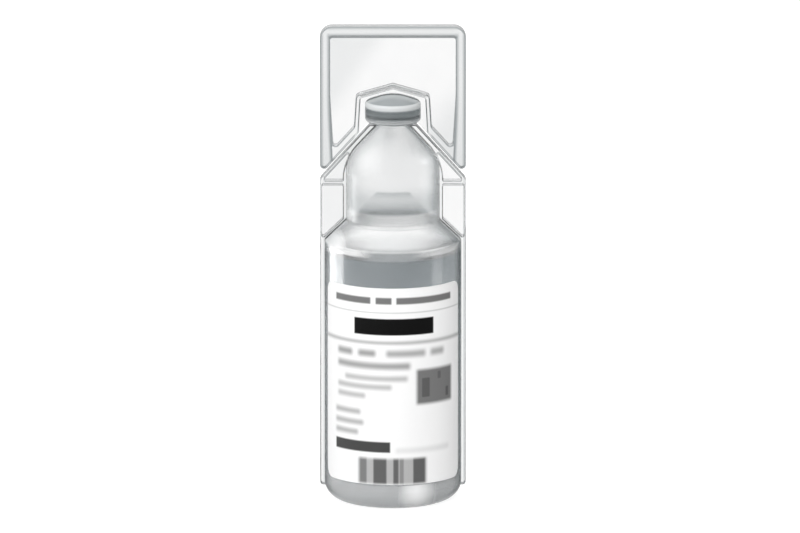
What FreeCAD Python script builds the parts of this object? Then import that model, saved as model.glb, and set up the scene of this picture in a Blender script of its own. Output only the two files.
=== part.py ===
import FreeCAD, Part
import math
import os

# Plastic ampoule of water, standing on its base: one hollow moulding with side fins and a twist-off tab,
# the water inside it, and the paper label on its front. Millimetres and degrees. +Z is up, +X runs along
# the tab, the front faces -Y, and the origin is the middle of the base.

# Body, from the base to the shoulder
body_diameter = 20.4
body_height = 39.2
wall = 0.5
base_round = 2.8
base_hollow_diameter = 11.0
base_hollow_depth = 0.5
base_hollow_slope = 1.2
base_hollow_round = 0.6

# Shoulder, dome and neck
shoulder_angle = 44.0
shoulder_round = 0.8
shoulder_root_round = 0.7
dome_diameter = 14.0
dome_height = 9.45
dome_round = 5.5
cone_angle = 48.0
neck_diameter = 5.25
neck_length = 0.4
neck_root_round = 0.1
tear_depth = 0.2

# Sealed head on the neck
head_diameter = 8.3
head_height = 3.1
head_roof_rise = 1.03
head_crown_diameter = 2.6
head_crown_round = 6.0
head_edge_round = 0.75
head_foot_round = 0.7

# Fins, in the parting plane
fin_reach = 0.6
fin_thickness = 2.0
fin_foot = 2.0
fin_foot_round = 0.5
fin_corner_round = 1.3
fin_lip = 0.65
fin_diagonal_rim = 0.5
fin_side_rim = 0.3
fin_contour_rim = 0.4
fin_bar_drop = 0.3
fin_bar_width = 0.72
fin_pocket_round = 0.2
fin_edge_bevel = 0.12
fin_tip_round = 0.24

# Twist-off tab
slit = 0.35
web_thickness = 0.5
web_seat = 0.15
tab_thickness = 2.2
tab_rise = 9.5
tab_corner_round = 1.85
tab_tip_round = 0.62
tab_side_rim = 1.5
tab_top_rim = 1.75
tab_leg_widening = 0.5
tab_diagonal_rim = 1.15
tab_bead = 0.68
tab_bead_spread = 0.3
tab_bead_round = 0.75
tab_edge_round = 0.3
window_corner_round = 0.4
window_taper_round = 5.0
head_side_gap = 0.63
head_top_gap = 0.92
recess_roof_angle = 16.0
recess_corner_round = 0.3

# Water
water_level = 37.45
meniscus_rise = 0.35
meniscus_width = 0.7
meniscus_round = 3.0

# Label
label_foot = 4.1
label_height = 29.8
label_width = 24.7
label_thickness = 0.1
label_corner_round = 1.5

# Sizes that follow from those above
body_radius = body_diameter / 2
dome_radius = dome_diameter / 2
neck_radius = neck_diameter / 2
head_radius = head_diameter / 2
cone_rise = math.tan(math.radians(cone_angle))
cone_slant = 1 / math.cos(math.radians(cone_angle))
shoulder_rise = math.tan(math.radians(shoulder_angle))
shoulder_slant = 1 / math.cos(math.radians(shoulder_angle))
crown_radius = head_crown_diameter / 2
recess_slope = math.tan(math.radians(recess_roof_angle))
shoulder_top = body_height + (body_radius - dome_radius) * shoulder_rise
dome_corner = shoulder_top + dome_height
cone_top = dome_corner + (dome_radius - neck_radius) * cone_rise
head_foot = cone_top + neck_length
head_rim = head_foot + head_height
head_peak = head_rim + head_roof_rise
half_width = body_radius + fin_reach
recess_side = head_radius + head_side_gap
recess_peak = head_peak + head_top_gap
tab_top = recess_peak + tab_rise
tab_gap = fin_lip + slit

# How far two faces may be apart and still count as in one plane
flush = 0.001


def point(x, z):
    """A point of the parting plane."""
    return FreeCAD.Vector(x, 0, z)


def cone_line(x, offset):
    """Height at x of the line that runs along the dome's cone, offset outside it."""
    return dome_corner + (dome_radius - x) * cone_rise + offset * cone_slant


def cone_line_x(z, offset):
    """Where the line of cone_line reaches the height z."""
    return dome_radius - (z - offset * cone_slant - dome_corner) / cone_rise


def meeting(x, z, lean, offset):
    """Where a line that starts at (x, z) and leans inwards from upright by lean meets cone_line."""
    rise = (cone_line(x, offset) - z) / (1 - math.tan(lean) * cone_rise)
    return x - rise * math.tan(lean), z + rise


def rounded_wire(corners):
    """A closed wire through corners of (x, z, radius), with a tangent arc at each that has a radius."""
    places = [point(x, z) for x, z, radius in corners]
    edges = []
    starts = []
    ends = []
    for i, (x, z, radius) in enumerate(corners):
        here = places[i]
        back = (places[i - 1] - here).normalize()
        ahead = (places[(i + 1) % len(places)] - here).normalize()
        half_angle = back.getAngle(ahead) / 2
        reach = radius / math.tan(half_angle)
        starts.append(here + back * reach)
        ends.append(here + ahead * reach)
        if radius:
            inward = (back + ahead).normalize()
            middle = here + inward * (radius / math.sin(half_angle) - radius)
            edges.append(Part.Arc(starts[i], middle, ends[i]).toShape())
    for i, end in enumerate(ends):
        start = starts[(i + 1) % len(starts)]
        edges.append(Part.makeLine(end, start))
    return Part.Wire(Part.__sortEdges__(edges))


def mirrored(half):
    """Closes the right half of an outline, given upwards from x = 0 or beside it, with its left half."""
    return half + [(-x, z, radius) for x, z, radius in reversed(half) if x > 0]


def plate(corners, thickness):
    """The outline as a plate of that thickness, half on each side of the parting plane."""
    face = Part.Face(rounded_wire(corners))
    face.translate(FreeCAD.Vector(0, -thickness / 2, 0))
    return face.extrude(FreeCAD.Vector(0, thickness, 0))


def revolved(corners, degrees=360):
    """The closed outline turned about the Z axis."""
    face = Part.Face(rounded_wire(corners))
    return face.revolve(FreeCAD.Vector(0, 0, 0), FreeCAD.Vector(0, 0, 1), degrees)


def long_edges(solid, thickness):
    """The edges of a plate's front and back faces."""
    edges = []
    for edge in solid.Edges:
        box = edge.BoundBox
        if min(abs(box.YMin), abs(box.YMax)) > thickness / 2 - flush and box.YLength < flush:
            edges.append(edge)
    return edges


def vessel_chain():
    """Corners of the vessel's outside, from the middle of the base to the middle of the top."""
    hollow = base_hollow_diameter / 2
    top = head_foot + wall
    return [
        (0, base_hollow_depth, 0),
        (hollow, base_hollow_depth, base_hollow_round),
        (hollow + base_hollow_slope, 0, base_hollow_round),
        (body_radius, 0, base_round),
        (body_radius, body_height, shoulder_round),
        (dome_radius, shoulder_top, shoulder_root_round),
        (dome_radius, dome_corner, dome_round),
        (neck_radius, cone_top, neck_root_round),
        (neck_radius, top, 0),
        (0, top, 0),
    ]


def inset_chain(chain, depth):
    """The chain with each side moved inwards by depth, and its arcs kept concentric."""
    sides = []
    for (x0, z0, _), (x1, z1, _) in zip(chain, chain[1:]):
        length = math.hypot(x1 - x0, z1 - z0)
        sides.append(((x1 - x0) / length, (z1 - z0) / length))
    moved = [(0, chain[0][1] + depth, 0)]
    for (x, z, radius), (ax, az), (bx, bz) in zip(chain[1:-1], sides, sides[1:]):
        turn = ax * bz - az * bx
        along = (1 - ax * bx - az * bz) / turn
        x_in = x - depth * (az + ax * along)
        z_in = z + depth * (ax - az * along)
        outward = -depth if turn > 0 else depth
        moved.append((x_in, z_in, max(radius + outward, 0) if radius else 0))
    moved.append((0, chain[-1][1] - depth, 0))
    return moved


def make_cavity():
    """The space inside the vessel, up to the sealed end of the neck."""
    return revolved(inset_chain(vessel_chain(), wall))


def make_head():
    """The solid head that seals the neck, with its low roof."""
    return revolved([
        (0, head_foot, 0),
        (head_radius, head_foot, head_foot_round),
        (head_radius, head_rim, head_edge_round),
        (crown_radius, head_peak, head_crown_round),
        (0, head_peak, 0),
    ])


def make_tear_groove():
    """The ring that is cut into the neck, level with the slit, where the tab twists off."""
    middle = head_foot - slit / 2
    return revolved([
        (neck_radius - tear_depth, middle, 0),
        (neck_radius + tear_depth, middle - slit / 2, 0),
        (neck_radius + tear_depth, middle + slit / 2, 0),
    ])


def fin_pockets():
    """Outlines of the two pockets in the right fin: above the bar, where it bends in with the dome, and
    below it."""
    inner = dome_radius + fin_contour_rim
    outer = half_width - fin_side_rim
    bar_top = cone_line(half_width, fin_lip) - fin_bar_drop
    bar_foot = bar_top - fin_bar_width
    diagonal = fin_lip - fin_diagonal_rim
    lift = fin_contour_rim * shoulder_slant
    bend = math.radians(90 - cone_angle) / 2
    bend_start = max(dome_corner - dome_round * math.tan(bend), bar_top + fin_bar_width)
    bend_room = bend_start - bar_top - 2 * fin_pocket_round
    bend_round = min(dome_round, bend_room / math.tan(bend / 2))
    tip_x, tip_z = meeting(inner, bend_start, bend, diagonal)
    above = [
        (inner, bar_top, fin_pocket_round),
        (cone_line_x(bar_top, diagonal), bar_top, fin_pocket_round),
        (tip_x, tip_z, fin_pocket_round),
        (inner, bend_start, bend_round),
    ]
    below = [
        (inner, body_height + (body_radius - inner) * shoulder_rise + lift, fin_pocket_round),
        (outer, body_height + (body_radius - outer) * shoulder_rise + lift, fin_pocket_round),
        (outer, bar_foot, fin_pocket_round),
        (inner, bar_foot, fin_pocket_round),
    ]
    return [above, below]


def make_fins():
    """Both fins as one plate through the vessel, with rims, a bar and thin webs in the pockets."""
    top = head_foot - slit
    fins = plate(mirrored([
        (half_width, fin_foot, fin_foot_round),
        (half_width, cone_line(half_width, fin_lip), fin_corner_round),
        (cone_line_x(top, fin_lip), top, fin_tip_round),
    ]), fin_thickness)
    for pocket in fin_pockets():
        for side in (1, -1):
            corners = [(side * x, z, radius) for x, z, radius in pocket]
            fins = fins.cut(plate(corners, fin_thickness * 2))
    return fins.makeChamfer(fin_edge_bevel, long_edges(fins, fin_thickness))


def tab_window():
    """Right half of the tab's window, upwards from the bead over the recess."""
    bead_side = recess_side + tab_bead
    bead_foot = bead_side + tab_bead_spread
    bead_peak = recess_peak + tab_bead * math.hypot(1, recess_slope)
    side = half_width - tab_side_rim
    foot = side - tab_leg_widening
    diagonal = tab_gap + tab_diagonal_rim
    return [
        (0, bead_peak, tab_bead_round),
        (bead_side, bead_peak - bead_side * recess_slope, tab_bead_round),
        (bead_foot, cone_line(bead_foot, diagonal), tab_bead_round),
        (foot, cone_line(foot, diagonal), window_corner_round),
        (side, head_peak, window_taper_round),
        (side, tab_top - tab_top_rim, window_corner_round),
    ]


def make_tab_frame():
    """The tab's thick rounded rim, round the window and the recess that the head stands in."""
    recess_foot = recess_side + tab_bead_spread
    frame = plate(mirrored([
        (0, recess_peak, recess_corner_round),
        (recess_side, recess_peak - recess_side * recess_slope, recess_corner_round),
        (recess_foot, cone_line(recess_foot, tab_gap), tab_bead_round),
        (half_width, cone_line(half_width, tab_gap), tab_tip_round),
        (half_width, tab_top, tab_corner_round),
    ]), tab_thickness)
    frame = frame.cut(plate(mirrored(tab_window()), tab_thickness * 2))
    edge_round = min(tab_edge_round, tab_bead * 0.45)
    return frame.makeFillet(edge_round, long_edges(frame, tab_thickness))


def make_webs():
    """Thin webs of the tab, which hold the head in its recess and stop at the slit, and of the fins."""
    inner = cone_line_x(head_foot, tab_gap)
    outer = half_width - tab_side_rim + web_seat
    tab = plate(mirrored([
        (0, head_foot + head_foot_round, 0),
        (inner, head_foot + head_foot_round, 0),
        (inner, head_foot, 0),
        (outer, cone_line(outer, tab_gap), 0),
        (outer, tab_top - tab_top_rim + web_seat, 0),
    ]), web_thickness)
    side = half_width - fin_side_rim + web_seat
    diagonal = fin_lip - fin_diagonal_rim + web_seat
    fins = plate(mirrored([
        (side, body_height, 0),
        (side, cone_line(side, diagonal), 0),
        (dome_radius / 2, cone_line(dome_radius / 2, diagonal), 0),
    ]), web_thickness)
    return [tab, fins]


def make_ampoule(cavity):
    """The whole moulding in one piece, hollow up to the sealed end of the neck."""
    pieces = [make_head(), make_fins(), make_tab_frame()] + make_webs()
    body = revolved(vessel_chain()).multiFuse(pieces)
    return body.cut(cavity).cut(make_tear_groove()).removeSplitter()


def make_water(cavity):
    """The water: the cavity up to the level, and a little higher where it wets the wall."""
    inner = body_radius - wall
    below_surface = revolved([
        (0, -wall, 0),
        (body_diameter, -wall, 0),
        (body_diameter, water_level + meniscus_rise, 0),
        (inner, water_level + meniscus_rise, 0),
        (inner - meniscus_width, water_level, meniscus_round),
        (0, water_level, 0),
    ])
    return cavity.common(below_surface)


def label_corner(side, middle, end):
    """What is cut off one corner of the label: a block less the round whose centre is at height middle."""
    reach = label_corner_round
    start = FreeCAD.Vector(body_radius - reach, 0, middle)
    block = Part.makeBox(reach * 2, reach * 2, reach * 2, start + FreeCAD.Vector(0, -reach, -reach))
    block.translate(FreeCAD.Vector(0, side * reach, end * reach))
    corner = block.cut(Part.makeCylinder(reach, reach * 2, start, FreeCAD.Vector(1, 0, 0)))
    turn = math.degrees((label_width / 2 - reach) / body_radius)
    corner.rotate(FreeCAD.Vector(0, 0, 0), FreeCAD.Vector(0, 0, 1), side * turn)
    return corner


def make_label():
    """The paper label, glued round the front of the body, with rounded corners."""
    span = math.degrees(label_width / body_radius)
    outer = body_radius + label_thickness
    top = label_foot + label_height
    sheet = revolved([
        (body_radius, label_foot, 0),
        (outer, label_foot, 0),
        (outer, top, 0),
        (body_radius, top, 0),
    ], span)
    sheet.rotate(FreeCAD.Vector(0, 0, 0), FreeCAD.Vector(0, 0, 1), -span / 2)
    for side in (-1, 1):
        sheet = sheet.cut(label_corner(side, label_foot + label_corner_round, -1))
        sheet = sheet.cut(label_corner(side, top - label_corner_round, 1))
    sheet.rotate(FreeCAD.Vector(0, 0, 0), FreeCAD.Vector(0, 0, 1), -90)
    return sheet


def main():
    os.makedirs("parts", exist_ok=True)
    cavity = make_cavity()
    parts = {"ampoule": make_ampoule(cavity), "water": make_water(cavity), "label": make_label()}
    for name, shape in parts.items():
        shape.exportStep(f"parts/{name}.step")
        print(name, len(shape.Solids), shape.isValid(), round(shape.Volume, 2), shape.BoundBox)


main()
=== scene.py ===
import math
import bmesh
import bpy
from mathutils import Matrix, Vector


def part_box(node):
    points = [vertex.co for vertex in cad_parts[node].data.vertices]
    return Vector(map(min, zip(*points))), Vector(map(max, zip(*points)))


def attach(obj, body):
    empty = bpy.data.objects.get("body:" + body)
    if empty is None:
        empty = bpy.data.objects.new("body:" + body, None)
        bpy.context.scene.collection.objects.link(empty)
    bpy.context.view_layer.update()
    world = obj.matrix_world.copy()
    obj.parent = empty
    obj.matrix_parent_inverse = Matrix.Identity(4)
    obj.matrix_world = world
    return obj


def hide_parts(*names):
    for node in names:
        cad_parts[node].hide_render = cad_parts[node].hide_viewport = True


# Plastic ampoule of water on a white floor, in metres, in the frame of the CAD model: +Z is up, the front
# faces -Y and the tab runs along X. The moulding is the CAD model's own. The water and the label are copies
# of its pieces that reach a little into the wall, so that light passes from one to the other.

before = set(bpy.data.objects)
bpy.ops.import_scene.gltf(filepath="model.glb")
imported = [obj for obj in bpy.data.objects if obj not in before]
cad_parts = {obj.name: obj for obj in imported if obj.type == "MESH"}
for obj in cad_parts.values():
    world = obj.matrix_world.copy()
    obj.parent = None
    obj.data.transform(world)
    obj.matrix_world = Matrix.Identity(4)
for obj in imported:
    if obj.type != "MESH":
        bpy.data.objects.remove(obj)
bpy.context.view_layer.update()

MM = 0.001

# Camera, round the point it aims at
camera_azimuth = 0.0
camera_elevation = 12.5
camera_distance = 2.967
camera_lens = 900.0
camera_sensor = 36.0
aim_aside = 1.05 * MM
aim_height = 35.006 * MM

# Light. A strength or a glow of 1 is white. In reflections the room and the floor go from one strength at
# the left to another at the right, between two directions or two places.
backdrop_white = 1.0
room_light = 0.75
room_reflection = (1.0, 0.35)
room_reflection_ways = (-0.3, 0.6)
floor_size = 6.0
floor_colour = 0.45
floor_glow = 0.75
floor_reflection = (1.0, 0.4)
floor_reflection_places = (-0.1, 0.1)

# Share of their brightness that reflections keep towards the back. It falls to that between two values of
# the way back divided by the way aside, and the way aside is never taken as less than least_aside.
behind_reflection = 0.3
behind_steepness = (0.9, 1.8)
least_aside = 0.001

# Panels that light what is matt: azimuth, elevation and distance, side and radiance
panels = {
    "panel_top": (-20, 78, 0.55, 0.40, 2.5),
    "panel_front": (-6, 30, 0.90, 0.50, 5.6),
    "panel_left": (-75, 15, 0.90, 0.50, 2.0),
}

# Cards that show as streaks on round walls: azimuth and distance, width, foot, top and radiance
cards = {
    "card_left_low": (-107, 0.10, 0.070, 0.001, 0.019, 9.0),
    "card_left_middle": (-114, 0.10, 0.060, 0.020, 0.033, 2.0),
    "card_right_low": (77, 0.11, 0.042, 0.001, 0.017, 3.0),
}

# How far the water and the label reach into the wall, and the angle from which an edge of theirs is sharp
seat_in_wall = 0.04 * MM
sharp_angle = math.radians(30)

# Unevenness, in waves to the metre, and the part of the noise's range that is used
uneven_waves = 160.0
rough_waves = 900.0
fine_detail = 3.0
noise_range = (0.3, 0.7)

# Powers of the clearness in red and blue, which make it cooler where it is low
cool_red = 1.07
cool_blue = 0.98

# Moulded plastic. A clearness is the share of light that gets through two of its faces; where it falls along
# outlines and edges, towards the right, on the head, the web and the fins, it is painted shade. A painted
# highlight is the share of a face that is matt and white. A facing of 0 is a face looked at squarely and 1
# one looked along, and a lean is how far a face turns to one side, left being less than 0. Absorption is per
# metre of depth.
plastic_ior = 1.49
plastic_absorbs = 60.0
plastic_tint = (0.46, 0.50, 0.51)
plastic_roughness = (0.15, 0.20)
plastic_evenness = 0.98
plastic_lamp_share = 0.985
# Painted shade on the vessel: the dome and the shoulder greyer towards their silhouettes, most on the right
dome_clearness = 0.96
dome_shaded_sides = (1.0, 0.38)
dome_shaded_sides_lean = (-0.3, 0.3)
dome_facing = (0.12, 0.7)
shoulder_clearness = 1.0
shoulder_shaded_sides = (0.7, 0.15)
shoulder_shaded_sides_lean = (-0.2, 0.5)
shoulder_facing = (0.25, 0.75)
# Painted highlights on the vessel, as matt white shares: the shoulder, the corner under it and its left
# patch, the cone's left side, and the base with its streak
shoulder_painted_highlight = 0.22
shoulder_highlight_facing = (0.6, 0.25)
corner_left_painted_highlight = 0.5
corner_right_painted_highlight = 0.3
corner_patch_painted_highlight = 0.6
cone_left_painted_highlight = 0.15
cone_left_lean = (-0.1, -0.5)
base_painted_highlight = 0.22
base_streak_painted_highlight = 0.75
# Painted shade along the body's upright silhouettes
body_clearness = 0.97
body_shaded_edge_clearness = 0.09
body_edge_facing = (0.5, 0.8)
# Painted shade and highlights of the head: a dark side and back, a paler foot and front rim, a grey roof with
# a paler ridge, and a dark outline
head_side_clearness = 0.13
head_back_clearness = 0.2
head_foot_clearness = 0.75
head_rim_clearness = 0.7
head_roof_clearness = 0.34
head_ridge_clearness = 0.52
head_outline_share = 0.4
# Painted highlights on the head, as matt white shares: its rim and roof, and its foot
head_rim_painted_highlight = 0.8
head_foot_painted_highlight = 0.3
# Painted shade on the tab and the fins: grey lines along their edges and the rim's borders, soft shade on the
# web, and the right fin's rim and the left fin's web greyer
tab_edge_clearness = 0.14
tab_level_edge_clearness = 0.3
recess_roof_clearness = 0.8
fin_edge_clearness = 0.5
plate_wall_clearness = 0.9
# Painted highlight on the plates' level walls, as a matt white share
plate_wall_painted_highlight = 0.5
rim_border_clearness = 0.34
tab_rim_clearness = 0.93
tab_leg_clearness = 0.84
tab_web_left_clearness = 0.885
tab_web_right_clearness = 0.86
fin_left_clearness = 1.0
fin_right_clearness = 0.86
fin_web_left_clearness = 0.93

# Turns of a face to the front or the back, and tilts up or down, between which an edge, a wall or a level
# face begins
edge_turn = (0.85, 0.995)
wall_turn = (0.1, 0.4)
edge_tilt = (0.1, 0.3)
wall_tilt = (0.3, 0.8)
upright_tilt = (0.7, 0.3)
plate_turn = 0.9

# Places of the moulding's parts. The head's space and the tab's slit fall away from the middle at a slope.
plates_end = 1.15 * MM
vessel_start = 1.6 * MM
head_reach = 4.25 * MM
head_bottom = 56.95 * MM
head_top = 61.75 * MM
head_slope = 0.3
head_rim_foot = 59.3 * MM
head_roof_foot = 60.12 * MM
head_ridge = -1.2 * MM
# Middle and half width, across, of the painted highlight streak on the base
base_streak = 3.5 * MM
base_streak_half = 3.2 * MM
base_round_top = 4.2 * MM
body_top = 39.2 * MM
shoulder_top = 42.3 * MM
cone_foot = 51.7 * MM
slit_height = 60.75 * MM
slit_slope = 1.11
tab_leg_foot = 46.0 * MM
tab_leg_top = 66.0 * MM
half_width = 10.8 * MM
rim_inside = 9.3 * MM
rim_widening = 0.5 * MM
rim_foot = 69.8 * MM
tab_top = 71.55 * MM
rim_border = 0.65 * MM
recess_half = 5.7 * MM
recess_top = 64.0 * MM
pocket_side = 10.4 * MM

# Places between which a tone or a painted highlight changes softly: heights, places across, and places from
# the front to the back
body_to_shoulder = (body_top - 0.3 * MM, body_top + 0.3 * MM)
shoulder_to_dome = (shoulder_top - 0.3 * MM, shoulder_top + 0.4 * MM)
cone_highlight_start = (cone_foot - 3.0 * MM, cone_foot)
shoulder_highlight_start = (body_top - 0.1 * MM, body_top + 0.6 * MM)
shoulder_highlight_end = (shoulder_top + 0.2 * MM, shoulder_top - 0.6 * MM)
corner_highlight_start = (body_top - 1.0 * MM, body_top - 0.6 * MM)
corner_highlight_end = (body_top + 0.3 * MM, body_top - 0.3 * MM)
corner_left = (-2.5 * MM, -6.0 * MM)
corner_right = (2.5 * MM, 6.0 * MM)
corner_patch = (-6.0 * MM, -8.2 * MM)
corner_patch_end = (body_top + 2.2 * MM, body_top + 1.0 * MM)
base_highlight_end = (base_round_top, base_round_top - 0.4 * MM)
head_side = (58.4 * MM, 57.4 * MM)
head_rim_start = (head_rim_foot - 0.3 * MM, head_rim_foot + 0.2 * MM)
head_roof_start = (head_roof_foot - 0.05 * MM, head_roof_foot + 0.05 * MM)
head_rim_depth = (-0.6 * MM, 0.6 * MM)
head_ridge_depth = (head_ridge - 1.4 * MM, head_ridge)
head_outline_depth = (head_ridge + 0.3 * MM, head_ridge + 1.0 * MM)
slit_line = (slit_height, slit_height + 0.1 * MM)
fin_middle = (-1.0 * MM, 1.0 * MM)

# Soft painted shade on the web in the tab's window: each across a line that climbs from left to right at a
# slope
web_left_slope = 0.68
web_left = (-51.5 * MM, -46.5 * MM)
web_right_slope = 1.0
web_right = (-56.0 * MM, -46.0 * MM)

# Soft grey reflection low on the front of the dome, narrower at its top, and the shares of light that it
# leaves at its foot, its middle and its top, and over the dome's foot round it
reflection_foot = 44.3 * MM
reflection_middle = 46.4 * MM
reflection_top = 47.9 * MM
reflection_half_foot = 5.3 * MM
reflection_half_top = 2.3 * MM
reflection_side = (0.2 * MM, -0.4 * MM)
reflection_end = (reflection_top, reflection_top - 0.4 * MM)
dome_start = (reflection_foot - 0.4 * MM, reflection_foot + 0.2 * MM)
dome_foot_end = (reflection_middle - 0.8 * MM, reflection_top + 1.0 * MM)
dome_front = (0.0, -vessel_start)
reflection_foot_share = 0.72
reflection_middle_share = 0.96
reflection_top_share = 0.66
dome_foot_share = 0.75

# Water
water_ior = 1.333
water_absorbs = 75.0
water_tint = (0.42, 0.47, 0.50)
water_top_clearness = 0.66
water_foot_clearness = 1.0
water_pale_foot = 20.0 * MM
water_grey_top = 37.4 * MM
water_roughness = (0.0, 0.02)
water_evenness = 0.96
water_surface_tilt = (0.5, 0.9)
water_lamp_share = 0.98

# Label
paper_white = 0.93
paper_grain = 0.02
paper_waves = 2500.0
paper_roughness = (0.55, 0.65)
paper_gloss = 0.1
paper_bump = 0.05
paper_bump_depth = 0.02 * MM
paper_middle = 0.05 * MM
print_reach = 10.3 * MM

# Printed bars, in millimetres across from the label's middle and up from the base: left and right end, foot
# and top, how soft the edge is, and how dark the bar is
word_bars = [
    (-9.8, -3.4, 31.5, 32.5, 0.15, 0.8),
    (-2.6, -0.2, 31.5, 32.5, 0.15, 0.8),
    (0.5, 10.0, 31.5, 32.5, 0.15, 0.8),
    (-6.05, 6.4, 26.8, 29.3, 0.12, 0.995),
]
rule_bars = [
    (-13.0, 13.0, 30.1, 30.3, 0.1, 0.3),
    (-13.0, 13.0, 25.4, 25.9, 0.35, 0.5),
]
line_bars = [
    (-9.3, -6.4, 23.5, 24.5, 0.5, 0.62),
    (-5.4, -2.6, 23.5, 24.5, 0.5, 0.62),
    (-1.0, 5.0, 23.5, 24.5, 0.5, 0.55),
    (5.9, 8.4, 23.5, 24.5, 0.5, 0.55),
    (-9.3, 2.6, 21.6, 22.6, 0.5, 0.6),
    (-7.8, 2.2, 19.8, 20.6, 0.45, 0.45),
    (-9.3, -0.2, 18.5, 19.3, 0.45, 0.45),
    (-9.3, -4.2, 17.1, 17.9, 0.45, 0.45),
    (-9.8, -5.0, 14.6, 15.4, 0.45, 0.5),
    (-9.8, -4.5, 13.0, 13.8, 0.45, 0.5),
    (-9.8, -5.4, 11.5, 12.3, 0.45, 0.5),
    (0.4, 9.5, 8.9, 9.7, 0.4, 0.15),
]
mark_bars = [
    (3.6, 10.2, 16.2, 21.5, 0.4, 0.8),
    (4.0, 6.2, 16.8, 20.6, 0.6, 0.88),
    (6.8, 8.2, 19.4, 21.3, 0.5, 0.86),
    (8.4, 9.9, 16.5, 18.8, 0.6, 0.88),
    (-9.8, -0.4, 9.0, 10.6, 0.15, 0.93),
]
code_bars = [
    (-5.3, 5.2, 4.2, 8.1, 0.4, 0.52),
    (-5.3, -3.8, 4.2, 8.1, 0.4, 0.78),
    (-3.1, -0.8, 4.2, 8.1, 0.35, 0.87),
    (-0.1, 1.0, 4.2, 8.1, 0.35, 0.86),
    (0.8, 1.8, 4.2, 8.1, 0.35, 0.72),
    (2.9, 5.1, 4.2, 8.1, 0.35, 0.87),
]
label_bars = word_bars + rule_bars + line_bars + mark_bars + code_bars


def node(tree, kind, sockets=None, **settings):
    """Adds a node with its settings. A socket is given a value, or another node's output to read."""
    made = tree.nodes.new(kind)
    for name, value in settings.items():
        setattr(made, name, value)
    for name, value in (sockets or {}).items():
        if isinstance(value, bpy.types.NodeSocket):
            tree.links.new(value, made.inputs[name])
        else:
            made.inputs[name].default_value = value
    return made


def new_material(name):
    """An empty material and its tree."""
    material = bpy.data.materials.new(name)
    material.use_nodes = True
    material.node_tree.nodes.clear()
    return material, material.node_tree


def between(tree, amount, a, b):
    """The number that is as far from a to b as amount says."""
    return node(tree, "ShaderNodeMix", {"Factor": amount, "A": a, "B": b}).outputs["Result"]


def ramp(tree, value, low, high, at_low=0.0, at_high=1.0):
    """Goes smoothly from at_low to at_high while the value goes from low to high."""
    return node(tree, "ShaderNodeMapRange", {
        "Value": value, "From Min": low, "From Max": high, "To Min": at_low, "To Max": at_high,
    }, interpolation_type="SMOOTHSTEP").outputs["Result"]


def maths(tree, operation, a, b=0.0):
    """A number worked out from one or two others."""
    return node(tree, "ShaderNodeMath", {0: a, 1: b}, operation=operation).outputs["Value"]


def noise(tree, place, waves, detail=2.0):
    """Unevenness from 0 to 1, with that number of waves to the metre."""
    made = node(tree, "ShaderNodeTexNoise", {"Vector": place, "Scale": waves, "Detail": detail})
    return made.outputs["Fac"]


def size_of(tree, value):
    """The number without its sign."""
    return maths(tree, "ABSOLUTE", value)


def product(tree, *values):
    """All the numbers multiplied."""
    *rest, result = values
    for value in reversed(rest):
        result = maths(tree, "MULTIPLY", value, result)
    return result


def apart(tree, vector):
    """The three numbers of a vector, by X, Y and Z."""
    return node(tree, "ShaderNodeSeparateXYZ", {"Vector": vector}).outputs


def from_axis(tree, place):
    """How far a place is from the body's axis."""
    flat = node(tree, "ShaderNodeCombineXYZ", {"X": place["X"], "Y": place["Y"]}).outputs["Vector"]
    return node(tree, "ShaderNodeVectorMath", {0: flat}, operation="LENGTH").outputs["Value"]


def clear_shader(tree, clearness, unhighlighted, ior, roughness, absorbs, tint, lamp_share):
    """Sees a clear solid through with this clearness, darker with depth, and lets the lamps' light pass.
    Where unhighlighted is less than 1, that share of it is matt and white instead, which paints a highlight."""
    colour = node(tree, "ShaderNodeCombineColor", {
        "Red": maths(tree, "POWER", clearness, cool_red),
        "Green": clearness,
        "Blue": maths(tree, "POWER", clearness, cool_blue),
    })
    glass = node(tree, "ShaderNodeBsdfPrincipled", {
        "Base Color": colour.outputs["Color"],
        "Roughness": roughness,
        "IOR": ior,
        "Transmission Weight": unhighlighted,
    })
    passing = node(tree, "ShaderNodeBsdfTransparent", {"Color": (lamp_share, lamp_share, lamp_share, 1.0)})
    path = node(tree, "ShaderNodeLightPath")
    mixed = node(tree, "ShaderNodeMixShader", {
        "Fac": path.outputs["Is Shadow Ray"],
        1: glass.outputs["BSDF"],
        2: passing.outputs["BSDF"],
    })
    depth = node(tree, "ShaderNodeVolumeAbsorption", {"Color": (*tint, 1.0), "Density": absorbs})
    node(tree, "ShaderNodeOutputMaterial", {
        "Surface": mixed.outputs["Shader"],
        "Volume": depth.outputs["Volume"],
    })


def vessel_clearness(tree, place, lean, facing):
    """Clearness of the dome, the shoulder and the body, with painted shade: each greyer towards its
    silhouette, and the dome and the shoulder most on the right, away from the light."""
    side = ramp(tree, lean["X"], *dome_shaded_sides_lean, *dome_shaded_sides)
    dome = between(tree, ramp(tree, facing, *dome_facing), dome_clearness, side)
    side = ramp(tree, lean["X"], *shoulder_shaded_sides_lean, *shoulder_shaded_sides)
    shoulder = between(tree, ramp(tree, facing, *shoulder_facing), shoulder_clearness, side)
    upright = ramp(tree, size_of(tree, lean["Z"]), *upright_tilt)
    edge = product(tree, ramp(tree, facing, *body_edge_facing), upright)
    body = between(tree, edge, body_clearness, body_shaded_edge_clearness)
    low = between(tree, ramp(tree, place["Z"], *body_to_shoulder), body, shoulder)
    return between(tree, ramp(tree, place["Z"], *shoulder_to_dome), low, dome)


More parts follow.
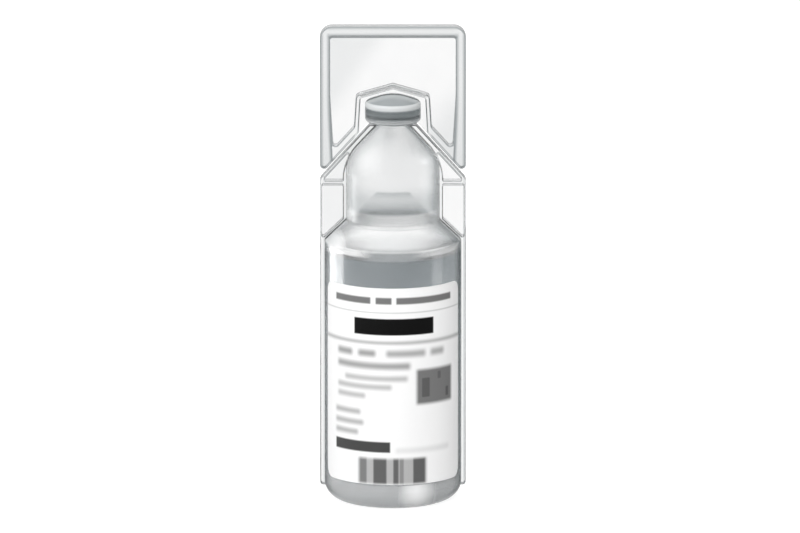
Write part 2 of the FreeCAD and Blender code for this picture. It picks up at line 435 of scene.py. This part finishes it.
def dome_reflection(tree, place):
    """Share of the light that the soft grey reflection on the front of the dome leaves."""
    aside = size_of(tree, place["X"])
    half = node(tree, "ShaderNodeMapRange", {
        "Value": place["Z"], "From Min": reflection_foot, "From Max": reflection_top,
        "To Min": reflection_half_foot, "To Max": reflection_half_top,
    }).outputs["Result"]
    inside = ramp(tree, maths(tree, "SUBTRACT", aside, half), *reflection_side)
    under = ramp(tree, place["Z"], *reflection_end)
    upper = ramp(tree, place["Z"], reflection_middle, reflection_top, reflection_middle_share,
                 reflection_top_share)
    lower = ramp(tree, place["Z"], reflection_foot, reflection_middle, reflection_foot_share, 1.0)
    shape = between(tree, product(tree, inside, under), 1.0, product(tree, upper, lower))
    foot = ramp(tree, place["Z"], *dome_foot_end, dome_foot_share, 1.0)
    front = ramp(tree, place["Y"], *dome_front)
    dome = ramp(tree, place["Z"], *dome_start)
    return between(tree, product(tree, front, dome), 1.0, product(tree, foot, shape))


def head_clearness(tree, place):
    """Clearness of the head, which paints its shade and highlights: a dark side, clearer at its foot, a
    rounded rim that is pale in front and dark behind, and a grey roof with a paler ridge and a dark outline."""
    side = ramp(tree, place["Z"], *head_side, head_side_clearness, head_foot_clearness)
    rim = ramp(tree, place["Y"], *head_rim_depth, head_rim_clearness, head_back_clearness)
    ridge = ramp(tree, place["Y"], *head_ridge_depth, head_roof_clearness, head_ridge_clearness)
    outline = ramp(tree, place["Y"], *head_outline_depth, 1.0, head_outline_share)
    top = between(tree, ramp(tree, place["Z"], *head_roof_start), rim, product(tree, ridge, outline))
    return between(tree, ramp(tree, place["Z"], *head_rim_start), side, top)


def head_painted_highlights(tree, place):
    """Painted highlights on the head, as a matt white share: its roof and its rounded upper rim, and its foot
    a little.
    """
    foot = ramp(tree, place["Z"], *head_side, 0.0, head_foot_painted_highlight)
    top = ramp(tree, place["Z"], *head_rim_start, 0.0, head_rim_painted_highlight)
    return maths(tree, "MAXIMUM", foot, top)


def head_share(tree, place, lean):
    """1 on the head and 0 elsewhere: near the axis and under the recess's roof, and not on the plates'
    faces."""
    near = maths(tree, "LESS_THAN", from_axis(tree, place), head_reach)
    over = maths(tree, "GREATER_THAN", place["Z"], head_bottom)
    fall = product(tree, size_of(tree, place["X"]), head_slope)
    under = maths(tree, "LESS_THAN", maths(tree, "ADD", place["Z"], fall), head_top)
    thin = maths(tree, "LESS_THAN", size_of(tree, place["Y"]), plates_end)
    turned = maths(tree, "GREATER_THAN", size_of(tree, lean["Y"]), plate_turn)
    off_plates = maths(tree, "SUBTRACT", 1.0, product(tree, thin, turned))
    return product(tree, near, over, under, off_plates)


def vessel_painted_highlights(tree, place, lean, facing):
    """Painted highlights on the vessel, as a matt white share: the cone's left side, the shoulder where it is
    looked at squarely, the sides of the corner under it with a patch at its left end, and the base with a
    streak."""
    lit = ramp(tree, lean["X"], *cone_left_lean, 0.0, cone_left_painted_highlight)
    cone = product(tree, lit, ramp(tree, place["Z"], *cone_highlight_start))
    over = ramp(tree, place["Z"], *shoulder_highlight_start)
    under = ramp(tree, place["Z"], *shoulder_highlight_end)
    square = ramp(tree, facing, *shoulder_highlight_facing, 0.0, shoulder_painted_highlight)
    shoulder = product(tree, over, under, square)
    over = ramp(tree, place["Z"], *corner_highlight_start)
    under = ramp(tree, place["Z"], *corner_highlight_end)
    left = ramp(tree, place["X"], *corner_left, 0.0, corner_left_painted_highlight)
    right = ramp(tree, place["X"], *corner_right, 0.0, corner_right_painted_highlight)
    corner = product(tree, over, under, maths(tree, "MAXIMUM", left, right))
    under = ramp(tree, place["Z"], *corner_patch_end)
    patch = ramp(tree, place["X"], *corner_patch, 0.0, corner_patch_painted_highlight)
    patch = product(tree, over, under, patch)
    beside = size_of(tree, maths(tree, "SUBTRACT", place["X"], base_streak))
    streak = ramp(tree, beside, base_streak_half, 0.0, base_painted_highlight, base_streak_painted_highlight)
    base = product(tree, streak, ramp(tree, place["Z"], *base_highlight_end))
    most = cone
    for painted_highlight in (shoulder, corner, patch, base):
        most = maths(tree, "MAXIMUM", most, painted_highlight)
    return most


def plate_painted_highlights(tree, lean):
    """Painted highlights on the plates, as a matt white share: their level walls."""
    wall = ramp(tree, size_of(tree, lean["Y"]), *wall_turn, plate_wall_painted_highlight, 0.0)
    return product(tree, wall, ramp(tree, size_of(tree, lean["Z"]), *wall_tilt))


def rim_clearness(tree, place, aside):
    """How far a place is inside the tab's rim from its window, less than 0 in the window, and the rim's
    clearness: pale along its middle, with painted shade greyer towards its sides, and greyer in its legs."""
    leg = ramp(tree, place["Z"], tab_leg_foot, tab_leg_top, tab_leg_clearness, tab_rim_clearness)
    widening = ramp(tree, place["Z"], head_top, tab_leg_foot, 0.0, rim_widening)
    from_side = maths(tree, "SUBTRACT", half_width, aside)
    from_top = maths(tree, "SUBTRACT", tab_top, place["Z"])
    from_window_side = maths(tree, "SUBTRACT", maths(tree, "ADD", aside, widening), rim_inside)
    from_window_top = maths(tree, "SUBTRACT", place["Z"], rim_foot)
    outer = maths(tree, "MINIMUM", from_side, from_top)
    inner = maths(tree, "MAXIMUM", from_window_side, from_window_top)
    border = ramp(tree, maths(tree, "MINIMUM", outer, inner), 0.0, rim_border, rim_border_clearness, 1.0)
    return inner, product(tree, leg, border)


def web_clearness(tree, place):
    """Clearness of the web in the tab's window, with painted shade greyer at the left and low at the right.
    """
    across = maths(tree, "SUBTRACT", place["X"], product(tree, place["Z"], web_left_slope))
    left = ramp(tree, across, *web_left, tab_web_left_clearness, 1.0)
    across = maths(tree, "SUBTRACT", place["X"], product(tree, place["Z"], web_right_slope))
    return product(tree, left, ramp(tree, across, *web_right, 1.0, tab_web_right_clearness))


def plate_clearness(tree, place, lean):
    """Clearness of the tab and the fins: clear faces with painted shade as grey lines along their rounded and
    cut edges, and greyer on the right fin's rim and the left fin's web.
    """
    aside = size_of(tree, place["X"])
    inner, rim = rim_clearness(tree, place, aside)
    tab = between(tree, maths(tree, "GREATER_THAN", inner, 0.0), web_clearness(tree, place), rim)
    drop = product(tree, aside, slit_slope)
    over_slit = ramp(tree, maths(tree, "ADD", place["Z"], drop), *slit_line)
    right = ramp(tree, place["X"], *fin_middle)
    rim = between(tree, right, fin_left_clearness, fin_right_clearness)
    pocket = between(tree, right, fin_web_left_clearness, 1.0)
    fin = between(tree, maths(tree, "GREATER_THAN", aside, pocket_side), pocket, rim)
    face = between(tree, over_slit, fin, tab)
    tilted = ramp(tree, size_of(tree, lean["Z"]), *edge_tilt)
    edge = between(tree, tilted, tab_edge_clearness, tab_level_edge_clearness)
    roof = between(tree, tilted, edge, recess_roof_clearness)
    beside = maths(tree, "LESS_THAN", aside, recess_half)
    in_recess = product(tree, beside, maths(tree, "LESS_THAN", place["Z"], recess_top))
    edge = between(tree, over_slit, fin_edge_clearness, between(tree, in_recess, edge, roof))
    turn = size_of(tree, lean["Y"])
    edge = between(tree, ramp(tree, turn, *wall_turn), plate_wall_clearness, edge)
    return between(tree, ramp(tree, turn, *edge_turn), edge, face)


def make_plastic():
    """The moulding's clear plastic, with each part's own clearness and frost."""
    material, tree = new_material("plastic")
    coordinates = node(tree, "ShaderNodeTexCoord").outputs
    place = apart(tree, coordinates["Object"])
    lean = apart(tree, coordinates["Normal"])
    facing = node(tree, "ShaderNodeLayerWeight", {"Blend": 0.5}).outputs["Facing"]
    vessel = product(tree, vessel_clearness(tree, place, lean, facing), dome_reflection(tree, place))
    on_vessel = ramp(tree, size_of(tree, place["Y"]), plates_end, vessel_start)
    clearness = between(tree, on_vessel, plate_clearness(tree, place, lean), vessel)
    in_head = head_share(tree, place, lean)
    clearness = between(tree, in_head, clearness, head_clearness(tree, place))
    # Painted highlights: a matt white share on the vessel, the plates and the head
    painted_highlight = between(tree, on_vessel, plate_painted_highlights(tree, lean), vessel_painted_highlights(tree, place, lean, facing))
    painted_highlight = between(tree, in_head, painted_highlight, head_painted_highlights(tree, place))
    waves = noise(tree, coordinates["Object"], uneven_waves)
    uneven = ramp(tree, waves, *noise_range, plastic_evenness, 1.0)
    waves = noise(tree, coordinates["Object"], rough_waves, fine_detail)
    rough = ramp(tree, waves, *noise_range, *plastic_roughness)
    unhighlighted = maths(tree, "SUBTRACT", 1.0, painted_highlight)
    clear_shader(tree, product(tree, clearness, uneven), unhighlighted, plastic_ior, rough, plastic_absorbs,
                 plastic_tint, plastic_lamp_share)
    return material


def make_clear_water():
    """Water with a clear surface and greyer sides, most so near the surface."""
    material, tree = new_material("water")
    coordinates = node(tree, "ShaderNodeTexCoord").outputs
    height = apart(tree, coordinates["Object"])["Z"]
    up = size_of(tree, apart(tree, coordinates["Normal"])["Z"])
    side = ramp(tree, height, water_pale_foot, water_grey_top, water_foot_clearness, water_top_clearness)
    clearness = between(tree, ramp(tree, up, *water_surface_tilt), side, 1.0)
    waves = noise(tree, coordinates["Object"], uneven_waves)
    uneven = ramp(tree, waves, *noise_range, water_evenness, 1.0)
    waves = noise(tree, coordinates["Object"], rough_waves, fine_detail)
    rough = ramp(tree, waves, *noise_range, *water_roughness)
    clear_shader(tree, product(tree, clearness, uneven), 1.0, water_ior, rough, water_absorbs, water_tint,
                 water_lamp_share)
    return material


def set_material(piece, material):
    """Gives the whole piece one material."""
    piece.data.materials.clear()
    piece.data.materials.append(material)


def seated_copy(name, source, move):
    """A smooth copy of a CAD node's mesh as a new piece, with each point moved as move(vertex) says."""
    shape = bmesh.new()
    shape.from_mesh(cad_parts[source].data)
    bmesh.ops.remove_doubles(shape, verts=shape.verts, dist=1e-7)
    shape.normal_update()
    places = [move(vertex) for vertex in shape.verts]
    for vertex, place in zip(shape.verts, places):
        vertex.co = place
    for face in shape.faces:
        face.smooth = True
    for edge in shape.edges:
        edge.smooth = edge.calc_face_angle(0.0) < sharp_angle
    mesh = bpy.data.meshes.new(name)
    shape.to_mesh(mesh)
    shape.free()
    piece = bpy.data.objects.new(name, mesh)
    bpy.context.scene.collection.objects.link(piece)
    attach(piece, "root")
    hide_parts(source)
    return piece


def into_wall(vertex):
    """Moves a point of the water outwards, into the wall round it."""
    return vertex.co + vertex.normal * seat_in_wall


def make_water():
    """A copy of the water with its sides in the wall."""
    set_material(seated_copy("water_fill", "water", into_wall), make_clear_water())


def make_bar_group():
    """A node group that prints one soft-edged bar: the darkness so far, or the bar's where that is more."""
    group = bpy.data.node_groups.new("bar", "ShaderNodeTree")
    sockets = ("Across", "Height", "From", "To", "Foot", "Top", "Blur", "Darkness", "So Far")
    for name in sockets:
        group.interface.new_socket(name, in_out="INPUT", socket_type="NodeSocketFloat")
    group.interface.new_socket("Darkness", in_out="OUTPUT", socket_type="NodeSocketFloat")
    given = node(group, "NodeGroupInput").outputs
    sides = []
    for value, low, high in (("Across", "From", "To"), ("Height", "Foot", "Top")):
        over = maths(group, "SUBTRACT", given[value], given[low])
        under = maths(group, "SUBTRACT", given[high], given[value])
        inside = maths(group, "DIVIDE", maths(group, "MINIMUM", over, under), given["Blur"])
        sides.append(ramp(group, inside, -1.0, 1.0))
    shape = product(group, given["Darkness"], *sides)
    node(group, "NodeGroupOutput", {"Darkness": maths(group, "MAXIMUM", shape, given["So Far"])})
    return group


def print_bars(tree, across, height):
    """Darkness of the label's print: plain bars in the places of its words, lines, mark and code."""
    group = make_bar_group()
    darkness = 0.0
    for left, right, foot, top, blur, dark in label_bars:
        darkness = node(tree, "ShaderNodeGroup", {
            "Across": across, "Height": height, "From": left * MM, "To": right * MM,
            "Foot": foot * MM, "Top": top * MM, "Blur": blur * MM, "Darkness": dark, "So Far": darkness,
        }, node_tree=group).outputs["Darkness"]
    return darkness


def make_paper():
    """White paper with a fine grain, and on its front the printed bars, placed by the way round the body and
    the height."""
    material, tree = new_material("label")
    coordinates = node(tree, "ShaderNodeTexCoord").outputs["Object"]
    place = apart(tree, coordinates)
    turn = maths(tree, "ARCTAN2", place["X"], maths(tree, "MULTIPLY", place["Y"], -1.0))
    across = product(tree, turn, print_reach)
    front = maths(tree, "GREATER_THAN", from_axis(tree, place), print_reach - paper_middle)
    darkness = product(tree, print_bars(tree, across, place["Z"]), front)
    grain = noise(tree, coordinates, paper_waves, fine_detail)
    paper = maths(tree, "SUBTRACT", paper_white, product(tree, grain, paper_grain))
    inked = product(tree, paper, maths(tree, "SUBTRACT", 1.0, darkness))
    colour = node(tree, "ShaderNodeCombineColor", {"Red": inked, "Green": inked, "Blue": inked})
    bump = node(tree, "ShaderNodeBump", {
        "Height": grain,
        "Strength": paper_bump,
        "Distance": paper_bump_depth,
    })
    surface = node(tree, "ShaderNodeBsdfPrincipled", {
        "Base Color": colour.outputs["Color"],
        "Roughness": ramp(tree, grain, *noise_range, *paper_roughness),
        "Specular IOR Level": paper_gloss,
        "Normal": bump.outputs["Normal"],
    })
    node(tree, "ShaderNodeOutputMaterial", {"Surface": surface.outputs["BSDF"]})
    return material


def make_label():
    """A copy of the label's sheet with its back in the wall."""
    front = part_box("label")[0].y
    middle_reach = -front - paper_middle

    def back_into_wall(vertex):
        """Moves a point of the sheet's back towards the axis, and leaves its front."""
        if vertex.co.xy.length > middle_reach:
            return vertex.co
        scale = 1 - seat_in_wall / vertex.co.xy.length
        return Vector((vertex.co.x * scale, vertex.co.y * scale, vertex.co.z))

    piece = seated_copy("label_paper", "label", back_into_wall)
    set_material(piece, make_paper())


def mirrored_rays(path):
    """1 where a reflection looks, else 0. The light that passes a rough surface counts as glossy too."""
    tree = path["Is Glossy Ray"].node.id_data
    return maths(tree, "GREATER_THAN", path["Is Glossy Ray"], path["Is Transmission Ray"])


def behind_share(tree, way):
    """Share of the brightness that reflections keep on the way there. The outlines of round walls look
    towards the back."""
    aside = maths(tree, "MAXIMUM", size_of(tree, way["X"]), least_aside)
    back = maths(tree, "DIVIDE", way["Y"], aside)
    return ramp(tree, back, *behind_steepness, 1.0, behind_reflection)


def make_floor():
    """A matt floor. The camera sees it brought up to white with the object's shadow on it, the light that
    passes the object sees it plain white, and reflections see it darker to the right and towards the
    back."""
    mesh = bpy.data.meshes.new("floor")
    half = floor_size / 2
    corners = [(-half, -half, 0), (half, -half, 0), (half, half, 0), (-half, half, 0)]
    mesh.from_pydata(corners, [], [(0, 1, 2, 3)])
    floor = bpy.data.objects.new("floor", mesh)
    bpy.context.scene.collection.objects.link(floor)
    material, tree = new_material("floor")
    path = node(tree, "ShaderNodeLightPath").outputs
    matt = node(tree, "ShaderNodeBsdfDiffuse", {"Color": (floor_colour, floor_colour, floor_colour, 1.0)})
    lift = node(tree, "ShaderNodeEmission", {"Strength": product(tree, path["Is Camera Ray"], floor_glow)})
    seen = node(tree, "ShaderNodeAddShader", {0: matt.outputs["BSDF"], 1: lift.outputs["Emission"]})
    way = apart(tree, node(tree, "ShaderNodeTexCoord").outputs["Object"])
    mirrored = ramp(tree, way["X"], *floor_reflection_places, *floor_reflection)
    mirrored = product(tree, mirrored, behind_share(tree, way))
    plain = between(tree, mirrored_rays(path), backdrop_white, mirrored)
    glow = node(tree, "ShaderNodeEmission", {"Strength": plain})
    through = maths(tree, "MAXIMUM", path["Is Glossy Ray"], path["Is Transmission Ray"])
    both = node(tree, "ShaderNodeMixShader", {
        "Fac": through,
        1: seen.outputs["Shader"],
        2: glow.outputs["Emission"],
    })
    node(tree, "ShaderNodeOutputMaterial", {"Surface": both.outputs["Shader"]})
    set_material(floor, material)


def make_world():
    """The room: white where the camera or light that passes the object looks, and darker to the right and
    towards the back where the object reflects it."""
    world = bpy.data.worlds.new("room")
    world.use_nodes = True
    tree = world.node_tree
    tree.nodes.clear()
    path = node(tree, "ShaderNodeLightPath").outputs
    way = apart(tree, node(tree, "ShaderNodeTexCoord").outputs["Generated"])
    mirrored = ramp(tree, way["X"], *room_reflection_ways, *room_reflection)
    mirrored = product(tree, mirrored, behind_share(tree, way))
    white = maths(tree, "MAXIMUM", path["Is Camera Ray"], path["Is Transmission Ray"])
    strength = between(tree, white, room_light, backdrop_white)
    strength = between(tree, mirrored_rays(path), strength, mirrored)
    room = node(tree, "ShaderNodeBackground", {"Strength": strength})
    node(tree, "ShaderNodeOutputWorld", {"Surface": room.outputs["Background"]})
    bpy.context.scene.world = world


def from_camera_side(azimuth, elevation, distance):
    """A place round the object, by the azimuth and elevation that a camera there would have."""
    a, e = math.radians(azimuth), math.radians(elevation)
    return Vector((math.sin(a) * math.cos(e), -math.cos(a) * math.cos(e), math.sin(e))) * distance


def make_lamp(name, place, facing, size, radiance, shines):
    """A soft rectangle of light with its width, height and radiance, which looks back along facing. One that
    shines is only seen in reflections, and the others only light what is matt."""
    lamp = bpy.data.lights.new(name, "AREA")
    lamp.shape = "RECTANGLE"
    lamp.size, lamp.size_y = size
    lamp.energy = radiance * math.pi * size[0] * size[1]
    holder = bpy.data.objects.new(name, lamp)
    bpy.context.scene.collection.objects.link(holder)
    holder.location = place
    holder.rotation_euler = facing.to_track_quat("Z", "Y").to_euler()
    holder.visible_camera = False
    holder.visible_transmission = False
    holder.visible_glossy = shines
    holder.visible_diffuse = not shines


def make_panel(name, azimuth, elevation, distance, side, radiance):
    """A square panel that lights the object's middle."""
    way = from_camera_side(azimuth, elevation, distance)
    make_lamp(name, Vector((0, 0, aim_height)) + way, way, (side, side), radiance, shines=False)


def make_card(name, azimuth, distance, width, foot, top, radiance):
    """An upright card beside the object, which shows as a streak on its round walls."""
    way = from_camera_side(azimuth, 0, distance)
    place = way + Vector((0, 0, (foot + top) / 2))
    make_lamp(name, place, way, (width, top - foot), radiance, shines=True)


def make_lamps():
    """All the panels and cards."""
    for name, panel in panels.items():
        make_panel(name, *panel)
    for name, card in cards.items():
        make_card(name, *card)


def make_camera():
    """The camera of the photograph."""
    camera = bpy.data.cameras.new("camera")
    camera.lens = camera_lens
    camera.sensor_width = camera_sensor
    holder = bpy.data.objects.new("camera", camera)
    bpy.context.scene.collection.objects.link(holder)
    a = math.radians(camera_azimuth)
    aim = Vector((math.cos(a), math.sin(a), 0)) * aim_aside + Vector((0, 0, aim_height))
    back = from_camera_side(camera_azimuth, camera_elevation, camera_distance)
    holder.location = aim + back
    holder.rotation_euler = back.to_track_quat("Z", "Y").to_euler()
    bpy.context.scene.camera = holder


make_camera()
make_world()
make_floor()
make_lamps()
set_material(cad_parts["ampoule"], make_plastic())
make_water()
make_label()
bpy.context.scene.view_settings.view_transform = "Standard"
